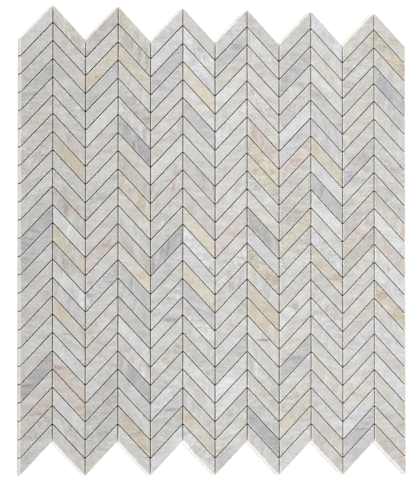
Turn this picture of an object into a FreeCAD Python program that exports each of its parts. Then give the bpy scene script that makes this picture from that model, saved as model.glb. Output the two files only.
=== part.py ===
import FreeCAD, Part
import math
import os

# Chevron wall tile: a mosaic sheet of mitred marble chips, bonded face up to a glass-fibre mesh.
# Every length is in millimetres. The sheet lies flat with its polished face up.
# +X runs across the columns, and +Y points to the top of the chevrons.
# The origin is the centre of the sheet's outline, on the plane that the mesh lies on.

# Chip field
COLUMN_COUNT = 12
CHIPS_PER_COLUMN = 24
COLUMN_PITCH = 23.3  # between the centre lines of two upright joints
ROW_PITCH = 12.7  # along an upright joint, between two slanting joints
CHEVRON_RISE = 24.4  # from the valley of a chevron to its peak, over one column
JOINT_WIDTH = 0.8  # open gap between two chips, square to the joint
CHIP_THICKNESS = 9.0
ARRIS = 0.3  # eased edge round the polished face

# Glass-fibre mesh: upright warp strands below, level weft strands above, against the chips
STRAND_PITCH = 5.0
STRAND_WIDTH = 0.9
STRAND_THICKNESS = 0.25
MESH_INSET = 1.0  # how far the mesh is trimmed back from the chips' outer edges

# Sizes that follow from the ones above
SLOPE = CHEVRON_RISE / COLUMN_PITCH
SLANT = math.hypot(1, SLOPE)  # length along Y taken up by one unit square to a slanting joint
FIELD_WIDTH = COLUMN_COUNT * COLUMN_PITCH
FIELD_HEIGHT = CHIPS_PER_COLUMN * ROW_PITCH + CHEVRON_RISE
CHIP_BACK = 2 * STRAND_THICKNESS
CHIP_FACE = CHIP_BACK + CHIP_THICKNESS

PARTS_FOLDER = "parts"


def prism(corners, bottom, height):
    """A straight-sided solid on a closed outline of (x, y) corners."""
    points = [FreeCAD.Vector(x, y, bottom) for x, y in corners]
    outline = Part.makePolygon(points + points[:1])
    return Part.Face(outline).extrude(FreeCAD.Vector(0, 0, height))


def is_rising(column):
    """The columns lean in turn: the first climbs to the right, the next one falls."""
    return column % 2 == 0


def mitred_chip(rising):
    """One chip at the foot of a column, measured from the column's left joint and valley level."""
    left = JOINT_WIDTH / 2
    right = COLUMN_PITCH - JOINT_WIDTH / 2
    lower = SLANT * JOINT_WIDTH / 2
    upper = ROW_PITCH - lower
    left_climb = SLOPE * (left if rising else right)
    right_climb = SLOPE * (right if rising else left)
    corners = [
        (left, left_climb + lower),
        (right, right_climb + lower),
        (right, right_climb + upper),
        (left, left_climb + upper),
    ]
    block = prism(corners, CHIP_BACK, CHIP_THICKNESS)
    face_rim = [edge for edge in block.Edges if edge.BoundBox.ZMin > CHIP_FACE - ARRIS]
    return block.makeChamfer(ARRIS, face_rim)


def chip_column(column):
    """A column of like chips, stacked a row pitch apart from the bottom of the sheet up."""
    master = mitred_chip(is_rising(column))
    left_joint = column * COLUMN_PITCH - FIELD_WIDTH / 2
    chips = []
    for row in range(CHIPS_PER_COLUMN):
        chip = master.copy()
        chip.translate(FreeCAD.Vector(left_joint, row * ROW_PITCH - FIELD_HEIGHT / 2, 0))
        chips.append(chip)
    return Part.makeCompound(chips)


def zigzag_climb(x):
    """How far the zigzag edge has climbed above its valleys, at a place across the sheet."""
    across = (x + FIELD_WIDTH / 2) % (2 * COLUMN_PITCH)
    return SLOPE * min(across, 2 * COLUMN_PITCH - across)


def mesh_outline():
    """The zigzag that the mesh is trimmed to, inside the outer edges of the chips."""
    setback = JOINT_WIDTH / 2 + MESH_INSET
    side = FIELD_WIDTH / 2 - setback
    joint_lines = [joint * COLUMN_PITCH - FIELD_WIDTH / 2 for joint in range(COLUMN_COUNT + 1)]
    places = [max(-side, min(side, x)) for x in joint_lines]
    top_valley = FIELD_HEIGHT / 2 - CHEVRON_RISE - SLANT * setback
    bottom_valley = SLANT * setback - FIELD_HEIGHT / 2
    top_edge = [(x, top_valley + zigzag_climb(x)) for x in places]
    bottom_edge = [(x, bottom_valley + zigzag_climb(x)) for x in reversed(places)]
    return top_edge + bottom_edge


def strand_places(span):
    """Centre lines of the strands across a span, spaced evenly about its middle."""
    count = int(span / STRAND_PITCH)
    return [(index - (count - 1) / 2) * STRAND_PITCH for index in range(count)]


def trimmed_strands(strands, level):
    """Strands cut along the zigzag. A bit too short to reach the next strand falls out."""
    outline = prism(mesh_outline(), level, STRAND_THICKNESS)
    pieces = Part.makeCompound(strands).common(outline).Solids
    shortest = STRAND_PITCH * STRAND_WIDTH * STRAND_THICKNESS
    return Part.makeCompound([piece for piece in pieces if piece.Volume >= shortest])


def warp_strands():
    """Upright strands, next to the wall."""
    strands = [
        Part.makeBox(STRAND_WIDTH, FIELD_HEIGHT, STRAND_THICKNESS,
                     FreeCAD.Vector(x - STRAND_WIDTH / 2, -FIELD_HEIGHT / 2, 0))
        for x in strand_places(FIELD_WIDTH)
    ]
    return trimmed_strands(strands, 0)


def weft_strands():
    """Level strands, between the warp and the backs of the chips."""
    strands = [
        Part.makeBox(FIELD_WIDTH, STRAND_WIDTH, STRAND_THICKNESS,
                     FreeCAD.Vector(-FIELD_WIDTH / 2, y - STRAND_WIDTH / 2, STRAND_THICKNESS))
        for y in strand_places(FIELD_HEIGHT)
    ]
    return trimmed_strands(strands, STRAND_THICKNESS)


def main():
    nodes = {f"chip_column_{column + 1:02d}": chip_column(column) for column in range(COLUMN_COUNT)}
    nodes["mesh_warp"] = warp_strands()
    nodes["mesh_weft"] = weft_strands()
    os.makedirs(PARTS_FOLDER, exist_ok=True)
    for name, shape in nodes.items():
        shape.exportStep(os.path.join(PARTS_FOLDER, f"{name}.step"))
        print(name, len(shape.Solids), "solids", f"{shape.Volume / 1000:.2f} cm3")


main()
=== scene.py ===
# %% [markdown]
# A chevron mosaic sheet in marble
#
# The object is a wall tile that is sold as a sheet. Small marble chips, sawn as slanted bars, are laid
# in upright chevrons and glued to a glass-fibre mesh, so that a tiler can bed the whole field at once.
# The joints are still open, because grout is only rubbed in on the wall. The CAD frame gives the place
# and size of every chip and strand. Everything below dresses that frame: first the chips, then the
# stone, then the woven mesh on the back, and at last the light and the camera.

# %% Load the frame
import math
import random

import bmesh
import bpy
import numpy as np
from mathutils import Matrix, Vector


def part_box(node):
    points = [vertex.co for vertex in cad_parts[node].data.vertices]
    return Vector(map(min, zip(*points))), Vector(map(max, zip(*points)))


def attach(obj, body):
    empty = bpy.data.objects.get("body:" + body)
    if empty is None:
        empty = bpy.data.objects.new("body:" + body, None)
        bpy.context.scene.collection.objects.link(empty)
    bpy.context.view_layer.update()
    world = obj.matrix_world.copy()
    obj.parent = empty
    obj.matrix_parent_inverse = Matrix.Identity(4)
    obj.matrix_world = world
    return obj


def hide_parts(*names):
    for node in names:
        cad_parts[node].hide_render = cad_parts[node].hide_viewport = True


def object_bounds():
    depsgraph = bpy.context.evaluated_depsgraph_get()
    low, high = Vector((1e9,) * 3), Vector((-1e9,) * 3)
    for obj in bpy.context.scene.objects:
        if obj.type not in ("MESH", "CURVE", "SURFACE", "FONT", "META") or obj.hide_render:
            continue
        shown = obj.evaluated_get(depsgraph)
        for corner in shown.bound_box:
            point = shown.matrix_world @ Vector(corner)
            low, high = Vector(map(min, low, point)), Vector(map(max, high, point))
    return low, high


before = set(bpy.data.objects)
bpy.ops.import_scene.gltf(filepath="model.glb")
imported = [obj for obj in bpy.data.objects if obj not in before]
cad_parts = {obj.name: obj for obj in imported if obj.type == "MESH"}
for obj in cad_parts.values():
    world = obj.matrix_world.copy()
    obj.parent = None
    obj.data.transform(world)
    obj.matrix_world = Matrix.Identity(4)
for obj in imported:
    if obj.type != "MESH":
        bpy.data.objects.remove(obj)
cad_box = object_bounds()
MM = 0.001


def in_mm(box):
    """The two corners of a box in millimetres, rounded for printing."""
    return [[round(value / MM, 1) for value in corner] for corner in box]


print("CAD box in mm:", in_mm(cad_box))

# %% [markdown]
# Finding the single chips
#
# Each CAD node holds a whole column of chips, as loose triangles. To dress the chips one by one we need
# to know where each of them is. Merging the doubled corners of a copy and following the edges from
# corner to corner gives one cloud of corners for each solid, and a chip's size and lean can be read
# from those. Reading them here, rather than writing sizes again, keeps the looks tied to the CAD model.

# %% Split a CAD node into its solids
TOUCHING = 0.001 * MM


def solids_of(node_name):
    """The corners of each separate solid in a CAD node, from the top of the sheet down."""
    shape = bmesh.new()
    shape.from_mesh(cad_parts[node_name].data)
    bmesh.ops.remove_doubles(shape, verts=shape.verts, dist=TOUCHING)
    shape.verts.ensure_lookup_table()
    seen = set()
    solids = []
    for first in shape.verts:
        if first in seen:
            continue
        seen.add(first)
        reached = [first]
        for corner in reached:
            neighbours = [edge.other_vert(corner) for edge in corner.link_edges]
            fresh = [other for other in neighbours if other not in seen]
            seen.update(fresh)
            reached.extend(fresh)
        solids.append(np.array([corner.co for corner in reached]))
    shape.free()
    return sorted(solids, key=lambda corners: (-corners[:, 1].max().round(6), corners[:, 0].min()))


column_names = sorted(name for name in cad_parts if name.startswith("chip_column"))
columns = {name: solids_of(name) for name in column_names}
print(len(columns), "columns,", sum(len(chips) for chips in columns.values()), "chips")

# %% Measure one chip
def chip_sizes(corners):
    """The run across the column, the climb over that run, the upright height and the thickness."""
    left = corners[corners[:, 0] < corners[:, 0].min() + TOUCHING]
    right = corners[corners[:, 0] > corners[:, 0].max() - TOUCHING]
    run = right[0, 0] - left[0, 0]
    climb = right[:, 1].min() - left[:, 1].min()
    height = left[:, 1].max() - left[:, 1].min()
    thickness = corners[:, 2].max() - corners[:, 2].min()
    return [float(size) for size in (run, climb, height, thickness)]


print("First chip in mm:", [round(size / MM, 2) for size in chip_sizes(columns[column_names[0]][0])])

# %% [markdown]
# Sorting the stone
#
# The sheet is cut from offcuts of one veined marble, so most chips are ivory and a few are grey, honey,
# rose or an icy white. The factory mixes them by hand. Here each shade lists its chips, by the column
# from the left and the row from the top, and every chip that is not listed is ivory or ash white. A
# shade also says how many fine streaks and how much rust its chips show.

# %% The shades of the stone
SHADES = {
    "ivory": {"ground": (0.604, 0.597, 0.565), "vein": (0.50, 0.475, 0.43), "streaks": 0.3, "rust": 0.0},
    "ash": {"ground": (0.600, 0.600, 0.587), "vein": (0.47, 0.468, 0.465), "streaks": 0.45, "rust": 0.0},
    "snow": {"ground": (0.662, 0.662, 0.645), "vein": (0.57, 0.56, 0.54), "streaks": 0.2, "rust": 0.0},
    "ice": {"ground": (0.652, 0.660, 0.667), "vein": (0.56, 0.57, 0.585), "streaks": 0.2, "rust": 0.0},
    "dove": {"ground": (0.508, 0.498, 0.466), "vein": (0.43, 0.41, 0.38), "streaks": 0.5, "rust": 0.1},
    "pale_grey": {"ground": (0.518, 0.519, 0.523), "vein": (0.42, 0.415, 0.42), "streaks": 0.6, "rust": 0.0},
    "deep_grey": {"ground": (0.440, 0.439, 0.448), "vein": (0.34, 0.335, 0.35), "streaks": 0.8, "rust": 0.0},
    "honey": {"ground": (0.622, 0.590, 0.508), "vein": (0.59, 0.505, 0.38), "streaks": 0.3, "rust": 0.1},
    "toffee": {"ground": (0.568, 0.532, 0.452), "vein": (0.53, 0.445, 0.33), "streaks": 0.4, "rust": 0.2},
    "rose": {"ground": (0.603, 0.568, 0.535), "vein": (0.54, 0.46, 0.41), "streaks": 0.3, "rust": 0.2},
}
SHADE_CHIPS = {
    "snow": {1: [1], 4: [6], 6: [5], 7: [4, 6, 7, 14, 21], 8: [2, 5], 9: [24], 10: [2, 12, 18],
             11: [19, 20]},
    "ice": {2: [12, 15, 19, 22], 3: [6], 4: [18], 5: [2, 8, 21, 24], 6: [2, 3, 13, 20, 24], 7: [18, 20],
            9: [6, 16], 10: [1, 4, 9, 11, 13], 11: [18, 22], 12: [12, 14, 15, 18, 20]},
    "dove": {2: [11, 14], 3: [1, 21, 22], 4: [2, 5, 9, 13, 17], 5: [23], 6: [9], 9: [11], 11: [13],
             12: [24]},
    "pale_grey": {1: [4, 13], 3: [4, 23], 4: [15, 21], 5: [3, 22], 6: [6, 16], 7: [2, 19],
                  9: [3, 19], 10: [10], 11: [8, 23]},
    "deep_grey": {1: [12, 20], 4: [7, 20], 5: [13], 8: [12, 23], 12: [4]},
    "honey": {2: [13], 3: [3], 4: [3, 10, 14], 6: [4, 12, 15], 8: [8, 9], 9: [12, 22], 10: [8]},
    "toffee": {2: [8, 17], 4: [1, 23], 6: [23], 8: [14, 16, 17], 10: [14], 12: [2, 16]},
    "rose": {1: [6, 22], 2: [3, 7, 20, 21], 3: [13], 5: [5, 10], 7: [12], 8: [7], 9: [8], 11: [12, 17],
             12: [11, 13, 19]},
}


def shade_of(column, row, chance):
    """The name of the shade that a chip is cut from. A chip that no list names is ivory or ash."""
    common = chance.choice(["ivory", "ash"])
    for name, chips in SHADE_CHIPS.items():
        if row in chips.get(column, []):
            return name
    return common


print({name: sum(len(rows) for rows in chips.values()) for name, chips in SHADE_CHIPS.items()})

# %% [markdown]
# Marks that catch the eye
#
# Some chips have one mark that stands out, such as a rusty lens or a smoky vein. A mark's place on its
# chip is given one by one: how far along the chip and off its middle line, how long and how high, in
# millimetres. More than half of the other chips get a faint blush by chance, because few pieces of
# marble are all of one colour.

# %% Place the marks
MARK_COLOURS = {
    "rust": (0.43, 0.31, 0.255), "plum": (0.32, 0.23, 0.23), "rose": (0.52, 0.41, 0.36),
    "gold": (0.575, 0.48, 0.355), "smoke": (0.34, 0.335, 0.345),
}
MARKS = {
    "rust": {(1, 22): (0, 0, 11, 3), (2, 7): (0, 0, 3, 8), (2, 11): (-2, 0, 4, 8), (2, 14): (-3, 0, 4, 8),
             (2, 18): (-4, 0, 9, 2), (2, 20): (-8, -2, 8, 3), (3, 3): (-4, -2, 3, 3), (3, 13): (3, 0, 9, 3),
             (3, 14): (-8, -2, 6, 2), (4, 2): (-2, 1, 3, 8), (4, 13): (-2, 0, 3, 9), (5, 10): (5, 0, 4, 5),
             (7, 15): (0, 1, 4, 7), (9, 4): (5, -1, 6, 3), (9, 11): (1, 2, 11, 4), (10, 14): (6, 1, 12, 5),
             (12, 16): (-7, 1, 9, 5)},
    "plum": {(1, 20): (-6, 0, 10, 2), (8, 18): (1, 2, 9, 3)},
    "rose": {(2, 21): (7, -2, 8, 4), (4, 16): (9, -1, 4, 9), (6, 17): (-8, 1, 8, 3), (7, 12): (1, -1, 12, 5),
             (8, 7): (-6, 0, 5, 10), (9, 8): (2, -1, 12, 4), (10, 5): (-8, 1, 8, 4), (10, 20): (6, 0, 5, 9),
             (12, 8): (7, 0, 7, 7), (12, 13): (0, 0, 6, 8), (12, 22): (8, 0, 7, 7), (12, 24): (8, -1, 9, 5)},
    "gold": {(4, 14): (5, 0, 11, 7), (4, 23): (5, -2, 8, 5), (6, 4): (9, -2, 8, 5), (6, 19): (-8, 1, 7, 6),
             (6, 23): (-8, 1, 8, 6), (7, 3): (2, -1, 8, 3), (8, 16): (-8, 0, 8, 6), (12, 2): (4, 0, 12, 5)},
    "smoke": {(3, 23): (0, 1, 12, 3), (4, 7): (-7, 2, 3, 7), (4, 15): (-2, 0, 3, 8), (5, 13): (2, 0, 6, 8),
              (5, 17): (2, 0, 14, 3), (5, 22): (2, 1, 12, 3), (7, 2): (4, 0, 10, 4), (8, 12): (1, 0, 3, 9),
              (9, 3): (2, 0, 11, 4), (9, 16): (0, 0, 7, 7), (9, 19): (0, 0, 13, 4), (10, 10): (-4, 1, 3, 8),
              (11, 21): (0, 0, 9, 2), (11, 23): (2, 0, 13, 4), (12, 4): (-8, 0, 4, 10),
              (12, 14): (-1, 0, 2, 3)},
}
FULL_STRENGTH = 1.0
FAINT_SHARE = 0.6
FAINT_STRENGTH = 0.3
FAINT_PLACES = [(-10, 10), (-3, 3), (5, 10), (4, 10)]  # limits of a place, in the order of a listed one


def faint_mark(chance):
    """A pale blush somewhere along a chip, of any colour that this stone has."""
    place = tuple(chance.uniform(*limits) for limits in FAINT_PLACES)
    strength = FAINT_STRENGTH if chance.random() < FAINT_SHARE else 0.0
    return {"colour": MARK_COLOURS[chance.choice(["rose", "gold", "smoke"])], "place": place,
            "strength": strength}


def mark_on(column, row, chance):
    """The colour, place and strength of a chip's mark: the listed one, or else a faint one or none."""
    faint = faint_mark(chance)
    for name, chips in MARKS.items():
        if (column, row) in chips:
            return {"colour": MARK_COLOURS[name], "place": chips[column, row], "strength": FULL_STRENGTH}
    return faint


print("Marks:", {name: len(chips) for name, chips in MARKS.items()})

# %% [markdown]
# Points that carry the stone's own numbers
#
# The chips will be made by one Geometry Nodes tree, which sets a chip on every point it is given. The
# points are a mesh with no faces: one vertex at the middle of each chip's back. Whatever is stored on a
# point as a named attribute travels with its chip, and the material can read it there. So the shade of
# a chip, the strength of its streaks, how lively its pattern is and the direction of its veins are
# written on the points. Most chips are calm and only a few are lively, so that number is a cubed chance.
# In this stone the veins lie about level or about upright on the finished sheet, because the strips are
# sawn at 45 degrees to the bed of the block.

# %% The direction of the veins
VEIN_SPREAD = math.radians(12)
UPRIGHT_SHARE = 0.45


def vein_angle(mark, leaning_left, chance):
    """The direction of a chip's veins: along its mark, or else about level, or sometimes upright."""
    length, height = mark["place"][2:]
    upright = leaning_left and chance.random() < UPRIGHT_SHARE
    if mark["strength"] == FULL_STRENGTH:
        upright = height > length
    return chance.gauss(math.pi / 2 if upright else 0, VEIN_SPREAD)


print("Veins spread by", round(math.degrees(VEIN_SPREAD)), "degrees, and some stand upright")

# %% Make the points of one column
WISP_SHARE = 0.15
WISP_RUST = 0.5
POINT_SEED = 31
LIVELY_SEED = 900


def store(mesh, name, kind, values):
    """Stores a list of numbers, places or colours on the points of a mesh."""
    field = {"FLOAT": "value", "FLOAT_VECTOR": "vector", "FLOAT_COLOR": "color"}[kind]
    flat = np.array(values, dtype=np.float32).ravel()
    mesh.attributes.new(name, kind, "POINT").data.foreach_set(field, flat)


def chip_points(name, chips, column):
    """A mesh of points at the backs of a column's chips, with the stone's numbers on them."""
    chance = random.Random(POINT_SEED + column)
    run, climb = chip_sizes(chips[0])[:2]
    shades = [SHADES[shade_of(column, row + 1, chance)] for row in range(len(chips))]
    marks = [mark_on(column, row + 1, chance) for row in range(len(chips))]
    rust = [WISP_RUST if chance.random() < WISP_SHARE else shade["rust"] for shade in shades]
    lively_chance = random.Random(LIVELY_SEED + column)
    liveliness = [lively_chance.random() ** 3 for chip in chips]
    middles = [(corners.min(0) + corners.max(0)) / 2 for corners in chips]
    backs = [(middle[0], middle[1], corners[:, 2].min()) for middle, corners in zip(middles, chips)]
    mark_places = []
    mark_shapes = []
    for middle, mark in zip(middles, marks):
        along, off, length, height = [size * MM for size in mark["place"]]
        mark_places.append((middle[0] + along, middle[1] + off + along * climb / run, middle[2]))
        mark_shapes.append((2 / length, 2 / height, 0))
    mesh = bpy.data.meshes.new(name)
    mesh.from_pydata(backs, [], [])
    store(mesh, "streaks", "FLOAT", [shade["streaks"] for shade in shades])
    store(mesh, "rust", "FLOAT", rust)
    store(mesh, "liveliness", "FLOAT", liveliness)
    store(mesh, "vein_angle", "FLOAT", [vein_angle(mark, climb < 0, chance) for mark in marks])
    store(mesh, "ground", "FLOAT_COLOR", [(*shade["ground"], 1) for shade in shades])
    store(mesh, "vein", "FLOAT_COLOR", [(*shade["vein"], 1) for shade in shades])
    store(mesh, "mark_place", "FLOAT_VECTOR", mark_places)
    store(mesh, "mark_shape", "FLOAT_VECTOR", mark_shapes)
    store(mesh, "mark_strength", "FLOAT", [mark["strength"] for mark in marks])
    store(mesh, "mark_colour", "FLOAT_COLOR", [(*mark["colour"], 1) for mark in marks])
    return mesh


column_points = [chip_points("points", columns[name], index + 1) for index, name in enumerate(column_names)]
print("Each point carries", [item.name for item in column_points[0].attributes])

# %% [markdown]
# Two helpers for node trees
#
# Trees that are built in a script get long, because every node, value and link takes a line. One helper
# adds a node with its settings, and takes for each input either a value or another node's output to
# link. The other does the same for one step of arithmetic. Both serve shaders and Geometry Nodes alike,
# and the rest of the file reads much like the tree itself.

# %% Helpers for node trees
def add(tree, kind, inputs=None, **settings):
    """A new node, with its settings made and its inputs set or linked."""
    made = tree.nodes.new(kind)
    for name, value in settings.items():
        setattr(made, name, value)
    for key, value in (inputs or {}).items():
        if isinstance(value, bpy.types.NodeSocket):
            tree.links.new(value, made.inputs[key])
        else:
            made.inputs[key].default_value = value
    return made


def maths(tree, operation, first, second=0.0, third=0.0):
    """One step of arithmetic on numbers or sockets."""
    return add(tree, "ShaderNodeMath", {0: first, 1: second, 2: third}, operation=operation).outputs[0]


# %% [markdown]
# The chip maker
#
# A chip is a slanted bar with upright ends: a flat outline with four corners, filled and pushed up to
# the stone's thickness. It could be modelled once by hand and copied, but both hands of chip and every
# size then need their own model. A tree with the sizes as named inputs makes any of them. The real
# chips are not laid by a machine, so each one also sits a hair out of place, turned a little, and a
# touch thinner than its neighbour. These small errors are what keep the joints from looking drawn. The
# edges round the face get a bevel weight, for the Bevel modifier that eases them afterwards.

# %% The outline and body of a chip
WELD = 0.01 * MM
FIRST_CORNER = 7  # the first of the four corner sockets on the Quadrilateral node


def outline_corner(tree, sizes, side, level):
    """A corner of the slanted outline, on the left (-1) or right (1), and low (-1) or high (1)."""
    x = maths(tree, "MULTIPLY", sizes["Run"], side / 2)
    climb = maths(tree, "MULTIPLY", sizes["Climb"], side / 2)
    y = maths(tree, "MULTIPLY_ADD", sizes["Height"], level / 2, climb)
    return add(tree, "ShaderNodeCombineXYZ", {"X": x, "Y": y}).outputs[0]


def chip_body(tree, sizes):
    """A closed slanted bar, with its back on the ground plane."""
    corners = [(-1, -1), (1, -1), (1, 1), (-1, 1)]
    places = {FIRST_CORNER + index: outline_corner(tree, sizes, *corner)
              for index, corner in enumerate(corners)}
    outline = add(tree, "GeometryNodeCurvePrimitiveQuadrilateral", places, mode="POINTS")
    flat = add(tree, "GeometryNodeFillCurve", {"Curve": outline.outputs[0]}, mode="NGONS").outputs[0]
    up = add(tree, "ShaderNodeCombineXYZ", {"Z": sizes["Thickness"]})
    walls = add(tree, "GeometryNodeExtrudeMesh", {
        "Mesh": flat, "Offset": up.outputs[0], "Offset Scale": 1.0, "Individual": False})
    back = add(tree, "GeometryNodeFlipFaces", {"Mesh": flat})
    joined = add(tree, "GeometryNodeJoinGeometry")
    tree.links.new(walls.outputs["Mesh"], joined.inputs[0])
    tree.links.new(back.outputs[0], joined.inputs[0])
    return add(tree, "GeometryNodeMergeByDistance", {
        "Geometry": joined.outputs[0], "Distance": WELD}).outputs[0]


# %% Mark the edges of the face
def weigh_face_edges(tree, body, sizes):
    """Writes a bevel weight of one on the edges that lie at the top of a chip."""
    ends = add(tree, "GeometryNodeInputMeshEdgeVertices")
    lowest = None
    for output in ("Position 1", "Position 2"):
        height = add(tree, "ShaderNodeSeparateXYZ", {0: ends.outputs[output]}).outputs["Z"]
        lowest = height if lowest is None else maths(tree, "MINIMUM", lowest, height)
    half = maths(tree, "MULTIPLY", sizes["Thickness"], 0.5)
    on_face = maths(tree, "GREATER_THAN", lowest, half)
    return add(tree, "GeometryNodeStoreNamedAttribute", {
        "Geometry": body, "Name": "bevel_weight_edge", "Value": on_face},
        data_type="FLOAT", domain="EDGE").outputs[0]


# %% Give every point its own chances
LOWEST, HIGHEST, OWN_SEED, NUMBER_OUT = 2, 3, 8, 1  # the sockets for plain numbers on Random Value
SALTS = {"tone": 1, "warmth": 2, "block": 3, "wander": 6, "twist": 8, "thinning": 9}


def random_number(tree, seed, salt, low, high):
    """A random number for each point, from the tree's seed and a salt of its own."""
    own_seed = maths(tree, "ADD", seed, salt)
    return add(tree, "FunctionNodeRandomValue", {LOWEST: low, HIGHEST: high, OWN_SEED: own_seed},
               data_type="FLOAT").outputs[NUMBER_OUT]


def spread_either_way(tree, size, seed, salt):
    """A random number between minus size and size."""
    low = maths(tree, "MULTIPLY", size, -1.0)
    return random_number(tree, seed, salt, low, size)


def note(tree, points, name, value, data_type="FLOAT"):
    """Stores a value on the points, under a name that the material can read."""
    return add(tree, "GeometryNodeStoreNamedAttribute", {
        "Geometry": points, "Name": name, "Value": value}, data_type=data_type, domain="POINT").outputs[0]


# %% The whole tree
BLOCK_SIZE = 40.0  # in metres, so that no two chips share a vein


def chip_maker():
    """A tree that lays a chip on each point, and gives the chip a place in the block it was cut from."""
    tree = bpy.data.node_groups.new("lay_mitred_chips", "GeometryNodeTree")
    socket = tree.interface.new_socket
    socket("Points", in_out="INPUT", socket_type="NodeSocketGeometry")
    for size in ("Run", "Climb", "Height", "Thickness", "Wander", "Twist", "Thinning"):
        socket(size, in_out="INPUT", socket_type="NodeSocketFloat")
    socket("Seed", in_out="INPUT", socket_type="NodeSocketInt")
    socket("Stone", in_out="INPUT", socket_type="NodeSocketMaterial")
    socket("Chips", in_out="OUTPUT", socket_type="NodeSocketGeometry")
    given = add(tree, "NodeGroupInput").outputs
    seed = given["Seed"]

    body = weigh_face_edges(tree, chip_body(tree, given), given)
    points = given["Points"]
    for cast in ("tone", "warmth"):
        points = note(tree, points, cast, random_number(tree, seed, SALTS[cast], -1.0, 1.0))
    in_block = add(tree, "ShaderNodeCombineXYZ", {
        axis: random_number(tree, seed, SALTS["block"] + index, 0.0, BLOCK_SIZE)
        for index, axis in enumerate("XYZ")})
    points = note(tree, points, "cut_from", in_block.outputs[0], "FLOAT_VECTOR")
    place = add(tree, "GeometryNodeInputPosition").outputs[0]
    points = note(tree, points, "chip_centre", place, "FLOAT_VECTOR")

    shift = add(tree, "ShaderNodeCombineXYZ", {
        axis: spread_either_way(tree, given["Wander"], seed, SALTS["wander"] + index)
        for index, axis in enumerate("XY")})
    points = add(tree, "GeometryNodeSetPosition", {"Geometry": points, "Offset": shift.outputs[0]}).outputs[0]
    twist = spread_either_way(tree, given["Twist"], seed, SALTS["twist"])
    turn = add(tree, "ShaderNodeCombineXYZ", {"Z": twist})
    thinning = random_number(tree, seed, SALTS["thinning"], 0.0, given["Thinning"])
    thinned = maths(tree, "SUBTRACT", 1.0, thinning)
    stretch = add(tree, "ShaderNodeCombineXYZ", {"X": 1.0, "Y": 1.0, "Z": thinned})
    laid = add(tree, "GeometryNodeInstanceOnPoints", {
        "Points": points, "Instance": body, "Rotation": turn.outputs[0], "Scale": stretch.outputs[0]})
    real = add(tree, "GeometryNodeRealizeInstances", {"Geometry": laid.outputs[0]})
    clad = add(tree, "GeometryNodeSetMaterial", {"Geometry": real.outputs[0], "Material": given["Stone"]})
    add(tree, "NodeGroupOutput", {"Chips": clad.outputs[0]})
    return tree


chip_tree = chip_maker()
print("Chip maker:", len(chip_tree.nodes), "nodes")

# %% [markdown]
# Where a chip was cut from
#
# Marble is a solid pattern: veins run right through the block and show on every sawn side. So the
# material works in three dimensions. It takes a point of the chip, measures it from the chip's centre,
# turns it to the direction of the veins, and moves it to the spot in the block that the chip came from.
# Every layer of the stone reads that one place, so faces and sides always agree.

# %% A place in the block, and noise measured in millimetres
def chip_number(tree, name):
    """A number that is stored on the chips."""
    return add(tree, "ShaderNodeAttribute", attribute_name=name).outputs["Fac"]


def chip_vector(tree, name):
    """A place or direction that is stored on the chips."""
    return add(tree, "ShaderNodeAttribute", attribute_name=name).outputs["Vector"]


def chip_colour(tree, name):
    """A colour that is stored on the chips."""
    return add(tree, "ShaderNodeAttribute", attribute_name=name).outputs["Color"]


def place_in_block(tree):
    """The point being shaded, as a place in the uncut block, with the veins running along X."""
    here = add(tree, "ShaderNodeTexCoord").outputs["Object"]
    from_centre = add(tree, "ShaderNodeVectorMath", {0: here, 1: chip_vector(tree, "chip_centre")},
                      operation="SUBTRACT")
    back_turn = maths(tree, "MULTIPLY", chip_number(tree, "vein_angle"), -1.0)
    along_veins = add(tree, "ShaderNodeVectorRotate", {
        "Vector": from_centre.outputs[0], "Angle": back_turn}, rotation_type="Z_AXIS")
    return add(tree, "ShaderNodeVectorMath", {
        0: along_veins.outputs[0], 1: chip_vector(tree, "cut_from")}, operation="ADD").outputs[0]


def noise(tree, place, lengths, detail, bend=0.0):
    """Noise from 0 to 1, whose marks are about as long as the lengths, in millimetres, on each axis."""
    shrink = [1 / (length * MM) for length in lengths]
    scaled = add(tree, "ShaderNodeVectorMath", {0: place, 1: shrink}, operation="MULTIPLY")
    return add(tree, "ShaderNodeTexNoise", {
        "Vector": scaled.outputs[0], "Scale": 1.0, "Detail": detail, "Distortion": bend}).outputs[0]


def between(tree, value, low, high):
    """0 below low and 1 above high, with a soft step between them."""
    return add(tree, "ShaderNodeMapRange", {"Value": value, "From Min": low, "From Max": high},
               interpolation_type="SMOOTHSTEP").outputs[0]


SHARE, FIRST_COLOUR, SECOND_COLOUR, COLOUR_OUT = 0, 6, 7, 2  # the sockets for colours on the Mix node


def mixed(tree, share, first, second, blend="MIX"):
    """Two colours, mixed by a share."""
    return add(tree, "ShaderNodeMix", {SHARE: share, FIRST_COLOUR: first, SECOND_COLOUR: second},
               data_type="RGBA", blend_type=blend).outputs[COLOUR_OUT]


# %% [markdown]
# The colours of the stone
#
# Close up, this marble is built in layers. A chip's shade drifts into the common white of the block and
# back. Soft bands and fine grey streaks lie along the bed. Iron has left rusty wisps in places, and the
# whole stone has a faint cloudiness and a sugary grain. Each layer is one noise at its real size: its
# three lengths run along the veins, across them and through the block. The strength of streaks and rust
# comes from the chip, and so does the place of its one mark, if it has any. Where two numbers stand for
# a strength, the first is for a calm chip and the second for a lively one.

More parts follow.
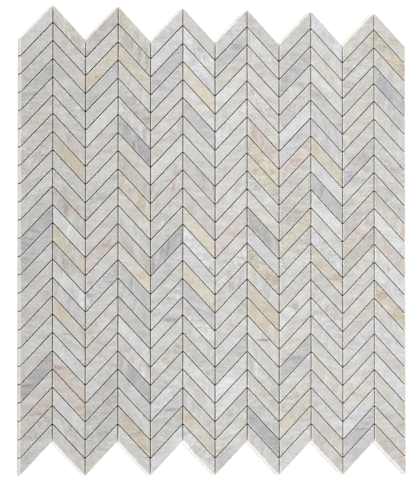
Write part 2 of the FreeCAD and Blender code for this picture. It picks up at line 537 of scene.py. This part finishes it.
# %% The layers of the stone
LAYERS = {
    "drift": {"lengths": (26, 8, 12), "detail": 3, "bend": 0.3, "shows": (0.34, 0.56)},
    "bands": {"lengths": (34, 4.2, 9), "detail": 4, "bend": 0.4, "shows": (0.38, 0.72)},
    "fine_streaks": {"lengths": (16, 1.3, 5), "detail": 2, "bend": 0.2, "shows": (0.50, 0.66)},
    "streak_sets": {"lengths": (22, 6, 9), "detail": 2, "bend": 0.0, "shows": (0.40, 0.60)},
    "wisp_patches": {"lengths": (8, 6, 6), "detail": 2, "bend": 0.0, "shows": (0.48, 0.62)},
    "stains": {"lengths": (11, 3.2, 6), "detail": 4, "bend": 0.5, "shows": (0.56, 0.76)},
    "mark_threads": {"lengths": (14, 1.5, 4), "detail": 2, "bend": 0.0, "shows": (0.38, 0.60)},
    "glue_smears": {"lengths": (5, 5, 5), "detail": 4, "bend": 0.5, "shows": (0.30, 0.55)},
}


def layer(tree, place, name):
    """How strongly a layer shows at a place: 0 below the first of its two levels, 1 above the second."""
    made = LAYERS[name]
    return between(tree, noise(tree, place, made["lengths"], made["detail"], made["bend"]), *made["shows"])


print("Layers with lengths in mm:", {name: made["lengths"] for name, made in LAYERS.items()})

# %% Wisps and marks
WISP_LENGTHS = (9, 2.6, 6)
WISP_BEND = 0.5
WISP_WIDTH = 0.035
WISP_STRENGTH = 0.6
FRAY_LENGTHS = (9, 1.1, 3)
FRAY = 2.4
MARK_EDGE = (0.2, 1.5)
MARK_BODY = 0.3
MARK_THREADS = 0.65


def rusty_wisps(tree, place):
    """Thin winding lines and small stains, in patches."""
    winding = maths(tree, "SUBTRACT", noise(tree, place, WISP_LENGTHS, 3, WISP_BEND), 0.5)
    off_line = between(tree, maths(tree, "ABSOLUTE", winding), 0.0, WISP_WIDTH)
    lines = maths(tree, "SUBTRACT", 1.0, off_line)
    lines = maths(tree, "MULTIPLY", lines, layer(tree, place, "wisp_patches"))
    wisps = maths(tree, "MAXIMUM", lines, layer(tree, place, "stains"))
    return maths(tree, "MULTIPLY", wisps, WISP_STRENGTH)


def single_mark(tree, place):
    """The chip's own mark: an oval that frays into streaks along the veins."""
    here = add(tree, "ShaderNodeTexCoord").outputs["Object"]
    offset = add(tree, "ShaderNodeVectorMath", {0: here, 1: chip_vector(tree, "mark_place")},
                 operation="SUBTRACT")
    scaled = add(tree, "ShaderNodeVectorMath", {0: offset.outputs[0], 1: chip_vector(tree, "mark_shape")},
                 operation="MULTIPLY")
    reach = add(tree, "ShaderNodeVectorMath", {0: scaled.outputs[0]}, operation="LENGTH").outputs["Value"]
    ragged = maths(tree, "SUBTRACT", noise(tree, place, FRAY_LENGTHS, 3), 0.5)
    reach = maths(tree, "MULTIPLY_ADD", ragged, FRAY, reach)
    oval = maths(tree, "SUBTRACT", 1.0, between(tree, reach, *MARK_EDGE))
    threads = maths(tree, "MULTIPLY_ADD", layer(tree, place, "mark_threads"), MARK_THREADS, MARK_BODY)
    frayed = maths(tree, "MULTIPLY", oval, threads)
    return maths(tree, "MULTIPLY", frayed, chip_number(tree, "mark_strength"))


# %% Colour and shade
COMMON_GROUND = (0.604, 0.601, 0.582, 1.0)
RUST = (0.40, 0.25, 0.19, 1.0)
WARM_CAST = (1.012, 1.0, 0.98, 1.0)
COOL_CAST = (0.992, 1.0, 1.015, 1.0)
OWN_GROUND = (0.3, 1.0)
BAND_STRENGTH = 0.6
STREAK_STRENGTH = (0.6, 2.6)
MOTTLE_STRENGTH = (0.8, 1.7)
CLOUD_LENGTHS = (9, 6, 6)
CLOUDS = 0.42
SUGAR_LENGTHS = (2.6, 1.6, 1.8)
SUGAR = 0.54
GRAIN = 0.20
TONE = 0.045


def ranged(tree, share, low, high):
    """A number that goes from low to high as a share goes from 0 to 1."""
    return maths(tree, "MULTIPLY_ADD", share, high - low, low)


def stone_colour(tree, place):
    """The colour of the stone at a place in the block."""
    own = ranged(tree, layer(tree, place, "drift"), *OWN_GROUND)
    colour = mixed(tree, own, COMMON_GROUND, chip_colour(tree, "ground"))
    bands = maths(tree, "MULTIPLY", layer(tree, place, "bands"), BAND_STRENGTH)
    colour = mixed(tree, bands, colour, chip_colour(tree, "vein"))
    streaks = maths(tree, "MULTIPLY", layer(tree, place, "fine_streaks"), layer(tree, place, "streak_sets"))
    streaks = maths(tree, "MULTIPLY", streaks, chip_number(tree, "streaks"))
    strength = ranged(tree, chip_number(tree, "liveliness"), *STREAK_STRENGTH)
    colour = mixed(tree, maths(tree, "MULTIPLY", streaks, strength), colour, chip_colour(tree, "vein"))
    rust = maths(tree, "MULTIPLY", rusty_wisps(tree, place), chip_number(tree, "rust"))
    colour = mixed(tree, rust, colour, RUST)
    colour = mixed(tree, single_mark(tree, place), colour, chip_colour(tree, "mark_colour"))
    warmth = maths(tree, "MULTIPLY_ADD", chip_number(tree, "warmth"), 0.5, 0.5)
    return mixed(tree, 1.0, colour, mixed(tree, warmth, COOL_CAST, WARM_CAST), "MULTIPLY")


def stone_shade(tree, place, grain):
    """How much lighter or darker the stone is than its colour: by chip, in clouds and in its grain."""
    clouds = noise(tree, place, CLOUD_LENGTHS, 3)
    sugar = noise(tree, place, SUGAR_LENGTHS, 2)
    mottle = 0.0
    for speckle, strength in ((clouds, CLOUDS), (sugar, SUGAR), (grain, GRAIN)):
        mottle = maths(tree, "MULTIPLY_ADD", maths(tree, "SUBTRACT", speckle, 0.5), strength, mottle)
    strength = ranged(tree, chip_number(tree, "liveliness"), *MOTTLE_STRENGTH)
    tone = maths(tree, "MULTIPLY_ADD", chip_number(tree, "tone"), TONE, 1.0)
    return maths(tree, "MULTIPLY_ADD", mottle, strength, tone)


# %% [markdown]
# Face, arris, sawn side and back
#
# A chip has four kinds of surface. The face is honed to a satin. The eased edge round it, which masons
# call the arris, is a little paler because the polish stops short of it. The sides are raw from the
# saw: matt, dusty and ruled with fine level lines. The back carries a film of the glue that holds the
# mesh. The direction that a surface faces tells them apart, so one material can finish the whole chip.

# %% Tell the surfaces apart
FACE_UP = (0.93, 0.99)  # how far the direction of a surface points up: 1 is straight up, -1 straight down
SIDE_UP = (0.1, 0.4)
BACK_DOWN = (0.6, 0.9)


def surfaces(tree):
    """How far a point is off the face, on a sawn side and on the back, each from 0 to 1."""
    facing_way = add(tree, "ShaderNodeNewGeometry").outputs["True Normal"]
    upward = add(tree, "ShaderNodeSeparateXYZ", {0: facing_way}).outputs["Z"]
    off_face = maths(tree, "SUBTRACT", 1.0, between(tree, upward, *FACE_UP))
    side = maths(tree, "SUBTRACT", 1.0, between(tree, maths(tree, "ABSOLUTE", upward), *SIDE_UP))
    back = between(tree, maths(tree, "MULTIPLY", upward, -1.0), *BACK_DOWN)
    return off_face, side, back


# %% The marble
SAWN_DUST = (0.86, 0.825, 0.775, 1.0)
GLUE = (0.46, 0.44, 0.385, 1.0)
GRAIN_LENGTHS = (0.45, 0.45, 0.45)
SAW_LENGTHS = (9, 9, 0.35)
MIDDLE = (0.35, 0.65)  # where most values of a noise lie
DUSTINESS = (0.42, 0.87)
SAW_DEPTH = 3.0
RELIEF = 0.03 * MM
HONED_ROUGHNESS = (0.42, 0.56)
SAWN_ROUGHNESS = 0.35


def honed_marble():
    """The material of the chips."""
    stone = bpy.data.materials.new("honed_marble")
    stone.use_nodes = True
    tree = stone.node_tree
    tree.nodes.clear()
    place = place_in_block(tree)
    grain = noise(tree, place, GRAIN_LENGTHS, 3)
    off_face, side, back = surfaces(tree)

    shade = stone_shade(tree, place, grain)
    grey = add(tree, "ShaderNodeCombineColor", {0: shade, 1: shade, 2: shade}).outputs[0]
    colour = mixed(tree, 1.0, stone_colour(tree, place), grey, "MULTIPLY")
    saw_lines = noise(tree, place, SAW_LENGTHS, 2)
    dust = ranged(tree, between(tree, saw_lines, *MIDDLE), *DUSTINESS)
    colour = mixed(tree, maths(tree, "MULTIPLY", off_face, dust), colour, SAWN_DUST)
    glue = maths(tree, "MULTIPLY", back, layer(tree, place, "glue_smears"))
    colour = mixed(tree, glue, colour, GLUE)

    ruled = maths(tree, "MULTIPLY", maths(tree, "MULTIPLY", saw_lines, side), SAW_DEPTH)
    relief = maths(tree, "ADD", grain, ruled)
    bump = add(tree, "ShaderNodeBump", {"Strength": 0.5, "Distance": RELIEF, "Height": relief})
    honed = ranged(tree, grain, *HONED_ROUGHNESS)
    roughness = maths(tree, "MULTIPLY_ADD", off_face, SAWN_ROUGHNESS, honed)
    skin = add(tree, "ShaderNodeBsdfPrincipled", {
        "Base Color": colour, "Roughness": roughness, "Normal": bump.outputs[0], "Specular IOR Level": 0.3})
    add(tree, "ShaderNodeOutputMaterial", {"Surface": skin.outputs[0]})
    return stone


marble = honed_marble()
print("Marble:", len(marble.node_tree.nodes), "nodes")

# %% [markdown]
# Laying the columns
#
# Now the parts meet: the points of a column, the chip maker with that column's sizes, and the marble. A
# Bevel modifier after the tree rounds the weighted edges into the arris. The evaluated result is then
# kept as a plain mesh, because instances and live modifiers are lost when the model is exported, and
# each column takes the place of its CAD node.

# %% From a tree to a plain mesh
def give(modifier, values):
    """Sets the named inputs of a Geometry Nodes modifier."""
    for item in modifier.node_group.interface.items_tree:
        if item.in_out == "INPUT" and item.name in values:
            modifier[item.identifier] = values[item.name]


def made_plain(source, name):
    """Keeps what an object's modifiers make as a plain mesh object, and removes the source."""
    bpy.context.view_layer.update()
    graph = bpy.context.evaluated_depsgraph_get()
    mesh = bpy.data.meshes.new_from_object(
        source.evaluated_get(graph), preserve_all_data_layers=True, depsgraph=graph)
    mesh.name = name
    bpy.data.objects.remove(source)
    piece = bpy.data.objects.new(name, mesh)
    bpy.context.scene.collection.objects.link(piece)
    return piece


# %% Lay the chips
ARRIS = 0.3 * MM
ARRIS_STEPS = 2
WANDER = 0.02 * MM
TWIST = math.radians(0.06)
THINNING = 0.012
LAYING_SEED = 500
SEED_STEP = 20


def lay_column(node_name, points, column):
    """The dressed chips of one column, narrow enough to stay in their places when they are turned."""
    run, climb, height, thickness = chip_sizes(columns[node_name][0])
    slack = WANDER + TWIST * (abs(climb) + height) / 2
    narrowed = 1 - 2 * slack / run
    source = bpy.data.objects.new("points", points)
    bpy.context.scene.collection.objects.link(source)
    maker = source.modifiers.new("chips", "NODES")
    maker.node_group = chip_tree
    give(maker, {"Run": run * narrowed, "Climb": climb * narrowed, "Height": height, "Thickness": thickness,
                 "Wander": WANDER, "Twist": TWIST, "Thinning": THINNING,
                 "Seed": LAYING_SEED + SEED_STEP * column, "Stone": marble})
    arris = source.modifiers.new("arris", "BEVEL")
    arris.limit_method = "WEIGHT"
    arris.width = ARRIS
    arris.segments = ARRIS_STEPS
    arris.use_clamp_overlap = False
    piece = made_plain(source, node_name.replace("chip", "marble"))
    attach(piece, "root")
    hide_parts(node_name)
    return piece


marble_columns = [lay_column(name, points, index + 1)
                  for index, (name, points) in enumerate(zip(column_names, column_points))]
print("Marble faces:", sum(len(piece.data.polygons) for piece in marble_columns))

# %% [markdown]
# The woven mesh
#
# Turn the sheet over and a net of white glass-fibre strands shows, with openings of about 4 mm. It is a
# plain weave: each strand passes over one crossing strand and under the next. In the CAD model the two
# directions are flat layers, one above the other. Here each strand becomes a path along its CAD solid,
# with a height that follows a cosine in both directions, so that warp and weft always pass on opposite
# sides of each other. A flattened tube is swept along the path.

# %% Find the path of each strand
ALONG_X, ALONG_Y = 0, 1
END_REACH = 1.5  # how much of a strand its slanted end takes up at most, in strand widths
strand_solids = {name: solids_of(name) for name in ("mesh_warp", "mesh_weft")}


def strand_paths(node_name, along):
    """The two ends of each strand's centre line, for strands that run along X or along Y."""
    paths = []
    for corners in strand_solids[node_name]:
        middle = (corners.min(0) + corners.max(0)) / 2
        width = np.ptp(corners[:, 1 - along])
        ends = []
        for extreme, near in ((corners[:, along].min(), 1), (corners[:, along].max(), -1)):
            cut = corners[(corners[:, along] - extreme) * near < END_REACH * width]
            end = middle.copy()
            end[along] = cut[:, along].mean()
            ends.append(tuple(end))
        paths.append(ends)
    return paths


warp_paths = strand_paths("mesh_warp", ALONG_Y)
weft_paths = strand_paths("mesh_weft", ALONG_X)
print(len(warp_paths), "warp strands and", len(weft_paths), "weft strands")

# %% The strand weaver
STRAND_SIDES = 6


def wave(tree, along, start, pitch):
    """A cosine that turns from crest to trough over one pitch."""
    turns = maths(tree, "DIVIDE", maths(tree, "SUBTRACT", along, start), pitch)
    return maths(tree, "COSINE", maths(tree, "MULTIPLY", turns, math.pi))


def strand_weaver():
    """A tree that turns straight lines into strands that pass over and under the crossing ones."""
    tree = bpy.data.node_groups.new("weave_strands", "GeometryNodeTree")
    socket = tree.interface.new_socket
    socket("Lines", in_out="INPUT", socket_type="NodeSocketGeometry")
    for size in ("Width", "Thickness", "Pitch", "Step", "First X", "First Y", "Crest"):
        socket(size, in_out="INPUT", socket_type="NodeSocketFloat")
    socket("Fibre", in_out="INPUT", socket_type="NodeSocketMaterial")
    socket("Strands", in_out="OUTPUT", socket_type="NodeSocketGeometry")
    given = add(tree, "NodeGroupInput").outputs

    lines = add(tree, "GeometryNodeMeshToCurve", {"Mesh": given["Lines"]})
    steps = add(tree, "GeometryNodeResampleCurve", {"Curve": lines.outputs[0], "Length": given["Step"]},
                mode="LENGTH")
    place = add(tree, "ShaderNodeSeparateXYZ", {0: add(tree, "GeometryNodeInputPosition").outputs[0]})
    over = maths(tree, "MULTIPLY", wave(tree, place.outputs["X"], given["First X"], given["Pitch"]),
                 wave(tree, place.outputs["Y"], given["First Y"], given["Pitch"]))
    lift = add(tree, "ShaderNodeCombineXYZ", {"Z": maths(tree, "MULTIPLY", over, given["Crest"])})
    woven = add(tree, "GeometryNodeSetPosition", {"Geometry": steps.outputs[0], "Offset": lift.outputs[0]})
    level = add(tree, "GeometryNodeSetCurveNormal", {"Curve": woven.outputs[0]}, mode="Z_UP")
    ring = add(tree, "GeometryNodeCurvePrimitiveCircle", {"Resolution": STRAND_SIDES, "Radius": 0.5})
    flat = add(tree, "ShaderNodeCombineXYZ", {"X": given["Width"], "Y": given["Thickness"], "Z": 1.0})
    section = add(tree, "GeometryNodeTransform", {"Geometry": ring.outputs[0], "Scale": flat.outputs[0]})
    swept = add(tree, "GeometryNodeCurveToMesh", {
        "Curve": level.outputs[0], "Profile Curve": section.outputs[0], "Fill Caps": True})
    real = add(tree, "GeometryNodeRealizeInstances", {"Geometry": swept.outputs[0]})
    clad = add(tree, "GeometryNodeSetMaterial", {"Geometry": real.outputs[0], "Material": given["Fibre"]})
    add(tree, "NodeGroupOutput", {"Strands": clad.outputs[0]})
    return tree


weave_tree = strand_weaver()
print("Strand weaver:", len(weave_tree.nodes), "nodes")

# %% [markdown]
# Glass fibre in resin
#
# A strand is a flat bundle of hair-fine glass threads, stiffened with a milky resin. The threads show
# as fine lines along the strand, and the resin gives a soft gloss with duller, dusty patches. The two
# directions differ only in which way the lines run, so one function makes both materials.

# %% The glass-fibre material
FIBRE_WHITE = (0.80, 0.81, 0.79, 1.0)
FIBRE_SHADOW = (0.62, 0.63, 0.60, 1.0)
DUST = (0.66, 0.63, 0.56, 1.0)
PATCH_LENGTHS = (14, 14, 14)
PATCHES_SHOW = (0.45, 0.65)
PATCH_DUST = 0.4
RESIN_ROUGHNESS = (0.4, 0.7)
THREAD_LENGTH = 8
THREAD_WIDTH = 0.12


def glass_fibre(name, thread_lengths):
    """Milky strands with fine threads of the given lengths, in millimetres."""
    fibre = bpy.data.materials.new(name)
    fibre.use_nodes = True
    tree = fibre.node_tree
    tree.nodes.clear()
    here = add(tree, "ShaderNodeTexCoord").outputs["Object"]
    threads = noise(tree, here, thread_lengths, 2)
    patches = between(tree, noise(tree, here, PATCH_LENGTHS, 4), *PATCHES_SHOW)
    colour = mixed(tree, between(tree, threads, *MIDDLE), FIBRE_SHADOW, FIBRE_WHITE)
    colour = mixed(tree, maths(tree, "MULTIPLY", patches, PATCH_DUST), colour, DUST)
    bump = add(tree, "ShaderNodeBump", {"Strength": 0.6, "Distance": RELIEF, "Height": threads})
    roughness = ranged(tree, patches, *RESIN_ROUGHNESS)
    skin = add(tree, "ShaderNodeBsdfPrincipled", {
        "Base Color": colour, "Roughness": roughness, "Normal": bump.outputs[0]})
    add(tree, "ShaderNodeOutputMaterial", {"Surface": skin.outputs[0]})
    return fibre


warp_fibre = glass_fibre("warp_fibre", (THREAD_WIDTH, THREAD_LENGTH, THREAD_WIDTH))
weft_fibre = glass_fibre("weft_fibre", (THREAD_LENGTH, THREAD_WIDTH, THREAD_WIDTH))
print("Fibre:", len(warp_fibre.node_tree.nodes), "nodes")

# %% Weave the mesh
STEPS_PER_OPENING = 3


def weave(node_name, paths, along, crest_side, fibre):
    """The dressed strands of one direction. Their first crossing is a crest (1) or a trough (-1)."""
    low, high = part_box(node_name)
    mesh_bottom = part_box("mesh_warp")[0].z
    thickness = high.z - low.z
    across = sorted({round(start[1 - along], 6) for start, end in paths})
    pitch = across[1] - across[0]
    width = float(np.ptp(strand_solids[node_name][0][:, 1 - along]))
    ends = [(x, y, mesh_bottom + thickness) for path in paths for x, y, z in path]
    lines = bpy.data.meshes.new("lines")
    lines.from_pydata(ends, [(index, index + 1) for index in range(0, len(ends), 2)], [])
    source = bpy.data.objects.new("lines", lines)
    bpy.context.scene.collection.objects.link(source)
    maker = source.modifiers.new("strands", "NODES")
    maker.node_group = weave_tree
    give(maker, {"Width": width, "Thickness": thickness, "Pitch": pitch, "Step": pitch / STEPS_PER_OPENING,
                 "First X": warp_paths[0][0][0], "First Y": weft_paths[0][0][1],
                 "Crest": crest_side * thickness / 2, "Fibre": fibre})
    piece = made_plain(source, node_name.replace("mesh", "woven"))
    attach(piece, "root")
    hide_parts(node_name)
    return piece


woven = [weave("mesh_warp", warp_paths, ALONG_Y, 1, warp_fibre),
         weave("mesh_weft", weft_paths, ALONG_X, -1, weft_fibre)]
print("Strand faces:", [len(piece.data.polygons) for piece in woven])

# %% [markdown]
# Floor and background
#
# The sheet lies on a plain white floor. A floor that is lit to pure white would need so much light that
# the stone would burn out too. So the floor is an ordinary pale surface that catches the sheet's
# shadow, and it gives off just enough light of its own, towards the camera only, to reach white. The
# Light Path node tells those rays apart. The world does the same above the horizon. Under the sheet the
# floor has no such glow, or it would shine up through the open joints.

# %% Paper that looks white
FLOOR_PALE = (0.24, 0.24, 0.24, 1.0)
WHITE = (1.0, 1.0, 1.0, 1.0)


def seen_directly(tree):
    """One for rays from the camera, straight or by way of gloss or glass, and zero for other light."""
    path = add(tree, "ShaderNodeLightPath").outputs
    seen = maths(tree, "MAXIMUM", path["Is Camera Ray"], path["Is Glossy Ray"])
    return maths(tree, "MAXIMUM", seen, path["Is Transmission Ray"])


def paper(name, lift):
    """A matt pale paper that is lifted towards white where it is seen."""
    sheet = bpy.data.materials.new(name)
    sheet.use_nodes = True
    tree = sheet.node_tree
    tree.nodes.clear()
    matt = add(tree, "ShaderNodeBsdfDiffuse", {"Color": FLOOR_PALE})
    strength = maths(tree, "MULTIPLY", seen_directly(tree), lift)
    glow = add(tree, "ShaderNodeEmission", {"Color": WHITE, "Strength": strength})
    both = add(tree, "ShaderNodeAddShader", {0: matt.outputs[0], 1: glow.outputs[0]})
    add(tree, "ShaderNodeOutputMaterial", {"Surface": both.outputs[0]})
    return sheet


def lay_paper(name, outline, level, lift):
    """A flat sheet of paper on an outline of (x, y) corners."""
    mesh = bpy.data.meshes.new(name)
    mesh.from_pydata([(x, y, level) for x, y in outline], [], [range(len(outline))])
    mesh.materials.append(paper(name, lift))
    piece = bpy.data.objects.new(name, mesh)
    bpy.context.scene.collection.objects.link(piece)


# %% Lay the floor
FLOOR_HALF = 1.6
FLOOR_LIFT = 0.85
SHADED_LIFT = 0.0
SHADED_STEP = 0.01 * MM


def chip_corner(corners, side, level):
    """The corner of a chip at its left (-1) or right (1) end and its lower (-1) or upper (1) side."""
    at_end = corners[corners[:, 0] * side > (corners[:, 0] * side).max() - TOUCHING]
    return tuple(max(at_end.tolist(), key=lambda corner: corner[1] * level)[:2])


def field_outline():
    """The zigzag outline of the chips, counted round from the lower left."""
    fields = list(columns.values())
    lower = [chip_corner(chips[-1], side, -1) for chips in fields for side in (-1, 1)]
    upper = [chip_corner(chips[0], side, 1) for chips in fields for side in (-1, 1)]
    return lower + upper[::-1]


floor_level = cad_box[0][2]
square = [(x * FLOOR_HALF, y * FLOOR_HALF) for x, y in ((-1, -1), (1, -1), (1, 1), (-1, 1))]
zigzag = field_outline()
lay_paper("floor", square, floor_level, FLOOR_LIFT)
lay_paper("shaded_floor", zigzag, floor_level + SHADED_STEP, SHADED_LIFT)
print("Floor:", 2 * FLOOR_HALF, "m wide, with", len(zigzag), "corners round its shaded part")

# %% The sky
SKY_STRENGTH = 0.19


def white_world():
    """A soft even sky, white where it is seen."""
    world = bpy.data.worlds.new("soft_sky")
    world.use_nodes = True
    tree = world.node_tree
    tree.nodes.clear()
    strength = add(tree, "ShaderNodeMapRange", {
        "Value": seen_directly(tree), "To Min": SKY_STRENGTH, "To Max": 1.0})
    sky = add(tree, "ShaderNodeBackground", {"Color": WHITE, "Strength": strength.outputs[0]})
    add(tree, "ShaderNodeOutputWorld", {"Surface": sky.outputs[0]})
    return world


bpy.context.scene.world = white_world()
print("The sky lights the sheet with a strength of", SKY_STRENGTH)

# %% [markdown]
# Soft lamps
#
# Flat stone is lit to show its joints. A long lamp hangs over the middle. To the camera, which looks in
# from the left, it lights the inner sides of the right-hand joints and leaves those on the left dark. A
# fill on the right evens out the faces. Two low lamps, beyond the upper and the lower edge, graze the
# sheet from the left and make its sawn outer sides pale, so that the outline stays clean on the white
# floor.

# %% The lamps
LAMPS = {
    "long_overhead": {"place": (0.0, 0.0, 0.36), "size": (0.12, 1.2), "watts": 1.15},
    "right_fill": {"place": (0.5, 0.0, 0.45), "size": (0.3, 1.0), "watts": 2.17},
    "low_above": {"place": (-1.0, 2.0, 0.3), "size": (0.4, 1.6), "watts": 48},
    "low_below": {"place": (-1.0, -2.0, 0.3), "size": (0.4, 1.6), "watts": 48},
}


def facing(back):
    """The turn that sets an object's back, its own +Z, to a direction, with its +Y up the sheet."""
    across = Vector((0, 1, 0)).cross(back).normalized()
    return Matrix((across, back.cross(across), back)).transposed().to_euler()


def hang_lamp(name, place, size, watts):
    """A flat lamp that faces the middle of the sheet."""
    panel = bpy.data.lights.new(name, "AREA")
    panel.shape = "RECTANGLE"
    panel.size, panel.size_y = size
    panel.energy = watts
    lamp = bpy.data.objects.new(name, panel)
    lamp.location = place
    lamp.rotation_euler = facing(Vector(place).normalized())
    bpy.context.scene.collection.objects.link(lamp)


for lamp_name, lamp in LAMPS.items():
    hang_lamp(lamp_name, **lamp)
print("Lamps in watts:", {name: lamp["watts"] for name, lamp in LAMPS.items()})

# %% [markdown]
# The camera
#
# The sheet was photographed with a long lens from almost straight above, a little from its left side
# and a little from below its lower edge, so the left edge shows as a thin strip. The camera is set by
# what it looks at, how far it stands off and the two small angles that it leans by, measured from the
# face's own upright.

# %% Set the camera
LENS = 200.0
SENSOR_HEIGHT = 24.0
DISTANCE = 2.8
LEAN_LEFT = math.radians(14.3)
LEAN_DOWN = math.radians(2.4)
AIM = (-5.25 * MM, 1.4 * MM)

camera_data = bpy.data.cameras.new("camera")
camera_data.sensor_fit = "VERTICAL"
camera_data.sensor_height = SENSOR_HEIGHT
camera_data.lens = LENS
camera = bpy.data.objects.new("camera", camera_data)
aim = Vector((*AIM, cad_box[1][2]))
away = Vector((-math.sin(LEAN_LEFT) * math.cos(LEAN_DOWN), -math.sin(LEAN_DOWN),
               math.cos(LEAN_LEFT) * math.cos(LEAN_DOWN)))
camera.location = aim + away * DISTANCE
camera.rotation_euler = facing(away)
bpy.context.scene.collection.objects.link(camera)
bpy.context.scene.camera = camera
bpy.context.scene.view_settings.view_transform = "Standard"
print("Camera at", [round(value, 3) for value in camera.location])
